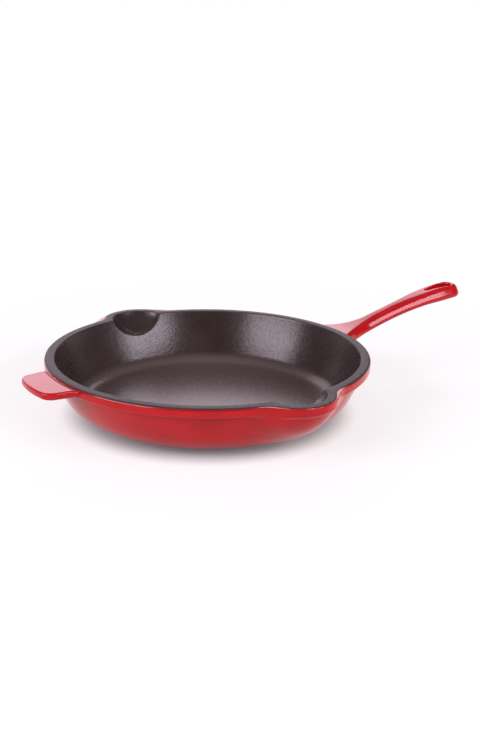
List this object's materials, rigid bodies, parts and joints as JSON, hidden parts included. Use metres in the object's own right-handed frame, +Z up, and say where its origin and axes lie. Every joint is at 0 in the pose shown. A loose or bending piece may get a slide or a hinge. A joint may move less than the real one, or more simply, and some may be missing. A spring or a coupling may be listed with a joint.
{
  "type": "cast iron skillet",
  "caption": "Enamelled cast iron skillet: shallow flared bowl with a pour lip on each side, long rising handle with a hanging eye, and a short helper handle opposite.",
  "frame": {"origin": "centre of the flat base, on the surface that the pan rests on", "axes": "+X from the bowl's centre along the long handle, +Y towards one pour lip, +Z up out of the bowl"},
  "size_m": [0.4352, 0.2968, 0.0715],
  "materials": {
    "iron": "bare grey iron under the enamel",
    "red_enamel": "glossy red vitreous enamel",
    "base_enamel": "glossy red vitreous enamel, scuffed where it rests",
    "dark_enamel": "satin dark brown-grey enamel with a sand-cast pebble"
  },
  "bodies": {
    "root": {"bowl_casting": "iron", "long_handle_casting": "iron", "helper_handle_casting": "iron", "bowl_enamel": "red_enamel", "long_handle_enamel": "red_enamel", "helper_handle_enamel": "red_enamel", "base_enamel": "base_enamel", "cooking_surface_enamel": "dark_enamel"}
  },
  "joints": []
}
